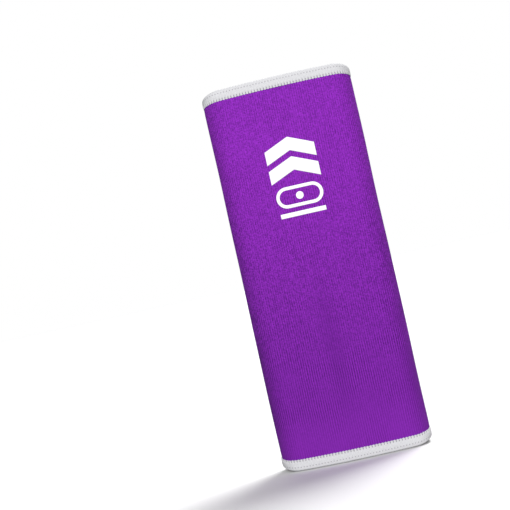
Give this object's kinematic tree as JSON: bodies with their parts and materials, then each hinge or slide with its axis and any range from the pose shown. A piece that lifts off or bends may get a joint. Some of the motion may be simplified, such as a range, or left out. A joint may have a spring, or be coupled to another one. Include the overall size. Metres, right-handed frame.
{
  "type": "elbow pad",
  "caption": "Tubular elastic knit elbow pad with a foam pad inside the front, overlocked hems and a plain printed mark; bends at the elbow line.",
  "frame": {"origin": "centre of the footprint, on the lower (forearm) rim", "axes": "+Z along the arm towards the upper-arm end, +X across the width, the padded face with the mark towards -Y and the crook of the elbow towards +Y"},
  "size_m": [0.1006, 0.0326, 0.256],
  "materials": {
    "purple_knit": "matte",
    "lining_fabric": "matte",
    "purple_thread": "matte",
    "foam": "matte",
    "white_yarn": "matte",
    "white_needle_thread": "matte",
    "white_film": "satin"
  },
  "bodies": {
    "forearm_half": {"knit_sleeve_forearm": "purple_knit", "foam_pad_forearm": "foam", "pocket_lining_forearm": "lining_fabric", "pocket_seam_forearm": "purple_thread", "hem_face_thread_forearm": "white_yarn", "hem_inside_thread_forearm": "white_yarn", "hem_needle_thread_forearm": "white_needle_thread"},
    "upper_arm_half": {"knit_sleeve_upper_arm": "purple_knit", "foam_pad_upper_arm": "foam", "pocket_lining_upper_arm": "lining_fabric", "pocket_seam_upper_arm": "purple_thread", "hem_face_thread_upper_arm": "white_yarn", "hem_inside_thread_upper_arm": "white_yarn", "hem_needle_thread_upper_arm": "white_needle_thread", "mark_upper_chevron": "white_film", "mark_lower_chevron": "white_film", "mark_ring": "white_film", "mark_dot": "white_film", "mark_bar": "white_film"}
  },
  "joints": [
    {"name": "elbow_flex", "type": "hinge", "parent": "forearm_half", "child": "upper_arm_half", "pos_m": [0, 0.0163, 0.128], "axis": [-1, 0, 0], "range_deg": [0, 120], "stiffness_Nm_per_rad": 0.05}
  ]
}
